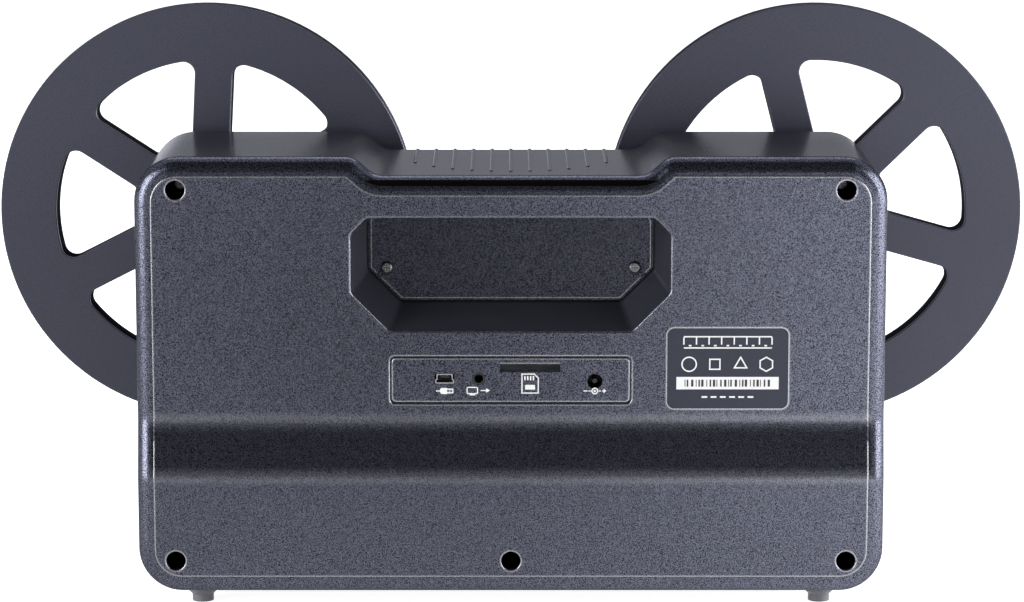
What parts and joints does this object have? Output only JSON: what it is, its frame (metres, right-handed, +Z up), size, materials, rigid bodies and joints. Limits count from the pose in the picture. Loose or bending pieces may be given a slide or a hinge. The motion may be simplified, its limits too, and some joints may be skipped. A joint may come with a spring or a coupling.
{
  "type": "film scanner",
  "caption": "Tabletop film scanner with supply and take-up reels on spindles, a film gate with a hinged door, film rollers, a display with keys, a rear hand recess and a port panel.",
  "frame": {"origin": "middle of the overall box, at the table, under the four feet", "axes": "+Z up from the table, -Y out of the front where the reels are, +Y out of the rear panel, +X to the right of someone who faces the front"},
  "size_m": [0.4386, 0.1274, 0.2412],
  "materials": {
    "cover_plastic": "fine metallic grain",
    "housing_plastic": "satin",
    "trim_plastic": "satin",
    "label_film": "smooth",
    "key_plastic": "satin",
    "reel_plastic": "fine grain",
    "white_plastic": "smooth",
    "diffuser": "frosted",
    "ribbon": "smooth",
    "circuit_board": "solder mask",
    "rubber": "matte",
    "dark_steel": "black zinc",
    "steel": "zinc plated",
    "brass": "turned",
    "black_aluminium": "black anodised",
    "window_glass": "polished",
    "lens_glass": "coated",
    "felt": "felt"
  },
  "bodies": {
    "casing": {"rear_cover": "cover_plastic", "front_housing": "housing_plastic", "port_plate": "trim_plastic", "rating_label": "label_film", "cover_screws": "dark_steel", "grip_screws": "dark_steel", "rubber_feet": "rubber", "main_board": "circuit_board", "data_port": "steel", "video_jack": "trim_plastic", "card_reader": "steel", "power_jack": "trim_plastic", "board_tray": "steel", "inner_screws": "steel", "display_ribbon": "ribbon", "display_module": "circuit_board", "display_window": "window_glass", "key_board": "circuit_board", "chassis_plate": "steel", "shaft_bushes": "brass", "takeup_motor": "steel", "advance_motor": "steel", "claw_studs": "steel", "gate_block": "housing_plastic", "hinge_pin": "steel", "light_diffuser": "diffuser", "lamp_board": "circuit_board", "lens_barrel": "black_aluminium", "lens_glass": "lens_glass", "sensor_board": "circuit_board", "roller_pins": "steel"},
    "supply_reel": {"supply_spindle": "trim_plastic", "brake_disc": "white_plastic", "brake_felt": "felt", "supply_reel_core": "reel_plastic", "supply_reel_flange": "reel_plastic"},
    "takeup_reel": {"takeup_spindle": "trim_plastic", "clutch_disc": "white_plastic", "clutch_felt": "felt", "takeup_reel_core": "reel_plastic", "takeup_reel_flange": "reel_plastic"},
    "supply_latch": {"supply_latch": "trim_plastic"},
    "takeup_latch": {"takeup_latch": "trim_plastic"},
    "takeup_gear": {"takeup_gear": "white_plastic", "clutch_spring": "steel"},
    "takeup_pinion": {"takeup_pinion": "brass"},
    "crank_gear": {"crank_gear": "white_plastic"},
    "advance_pinion": {"advance_pinion": "brass"},
    "film_claw": {"film_claw": "steel"},
    "gate_door": {"gate_door": "housing_plastic", "pressure_plate": "steel"},
    "supply_outer_roller": {"supply_outer_roller": "trim_plastic"},
    "supply_inner_roller": {"supply_inner_roller": "trim_plastic"},
    "takeup_outer_roller": {"takeup_outer_roller": "trim_plastic"},
    "takeup_inner_roller": {"takeup_inner_roller": "trim_plastic"},
    "power_button": {"power_button": "key_plastic"},
    "previous_button": {"previous_button": "key_plastic"},
    "record_button": {"record_button": "key_plastic"},
    "next_button": {"next_button": "key_plastic"},
    "menu_button": {"menu_button": "key_plastic"}
  },
  "joints": [
    {"name": "supply_spin", "type": "hinge", "parent": "casing", "child": "supply_reel", "pos_m": [-0.1303, 0, 0.1522], "axis": [0, 1, 0], "continuous": true},
    {"name": "takeup_spin", "type": "hinge", "parent": "casing", "child": "takeup_reel", "pos_m": [0.1303, 0, 0.1522], "axis": [0, 1, 0], "continuous": true},
    {"name": "supply_latch_turn", "type": "hinge", "parent": "supply_reel", "child": "supply_latch", "pos_m": [-0.1303, -0.05273, 0.1522], "axis": [0, 0, 1], "range_deg": [0, 90]},
    {"name": "takeup_latch_turn", "type": "hinge", "parent": "takeup_reel", "child": "takeup_latch", "pos_m": [0.1303, -0.05273, 0.1522], "axis": [0, 0, 1], "range_deg": [0, 90]},
    {"name": "takeup_gear_spin", "type": "hinge", "parent": "casing", "child": "takeup_gear", "pos_m": [0.1303, 0, 0.1522], "axis": [0, 1, 0], "continuous": true},
    {"name": "takeup_pinion_spin", "type": "hinge", "parent": "casing", "child": "takeup_pinion", "pos_m": [0.1111, 0, 0.1522], "axis": [0, 1, 0], "continuous": true},
    {"name": "crank_spin", "type": "hinge", "parent": "casing", "child": "crank_gear", "pos_m": [0, 0, 0.062], "axis": [0, 1, 0], "continuous": true},
    {"name": "advance_pinion_spin", "type": "hinge", "parent": "casing", "child": "advance_pinion", "pos_m": [0.0156, 0, 0.062], "axis": [0, 1, 0], "continuous": true},
    {"name": "claw_slide", "type": "slide", "parent": "casing", "child": "film_claw", "axis": [1, 0, 0], "range_m": [-0.00212, 0.00212]},
    {"name": "gate_door_swing", "type": "hinge", "parent": "casing", "child": "gate_door", "pos_m": [-0.0265, -0.05545, 0.046], "axis": [0, 0, -1], "range_deg": [0, 110]},
    {"name": "supply_outer_roller_spin", "type": "hinge", "parent": "casing", "child": "supply_outer_roller", "pos_m": [-0.118, 0, 0.038], "axis": [0, 1, 0], "continuous": true},
    {"name": "supply_inner_roller_spin", "type": "hinge", "parent": "casing", "child": "supply_inner_roller", "pos_m": [-0.054, 0, 0.05], "axis": [0, 1, 0], "continuous": true},
    {"name": "takeup_outer_roller_spin", "type": "hinge", "parent": "casing", "child": "takeup_outer_roller", "pos_m": [0.118, 0, 0.038], "axis": [0, 1, 0], "continuous": true},
    {"name": "takeup_inner_roller_spin", "type": "hinge", "parent": "casing", "child": "takeup_inner_roller", "pos_m": [0.054, 0, 0.05], "axis": [0, 1, 0], "continuous": true},
    {"name": "power_button_press", "type": "slide", "parent": "casing", "child": "power_button", "axis": [0, 1, 0], "range_m": [0, 0.0007], "stiffness_N_per_m": 900},
    {"name": "previous_button_press", "type": "slide", "parent": "casing", "child": "previous_button", "axis": [0, 1, 0], "range_m": [0, 0.0007], "stiffness_N_per_m": 900},
    {"name": "record_button_press", "type": "slide", "parent": "casing", "child": "record_button", "axis": [0, 1, 0], "range_m": [0, 0.0007], "stiffness_N_per_m": 900},
    {"name": "next_button_press", "type": "slide", "parent": "casing", "child": "next_button", "axis": [0, 1, 0], "range_m": [0, 0.0007], "stiffness_N_per_m": 900},
    {"name": "menu_button_press", "type": "slide", "parent": "casing", "child": "menu_button", "axis": [0, 1, 0], "range_m": [0, 0.0007], "stiffness_N_per_m": 900}
  ],
  "couplings": [
    {"joint": "takeup_gear_spin", "follows": "takeup_spin", "ratio": 1},
    {"joint": "takeup_pinion_spin", "follows": "takeup_spin", "ratio": -3},
    {"joint": "advance_pinion_spin", "follows": "crank_spin", "ratio": -3.3333}
  ]
}
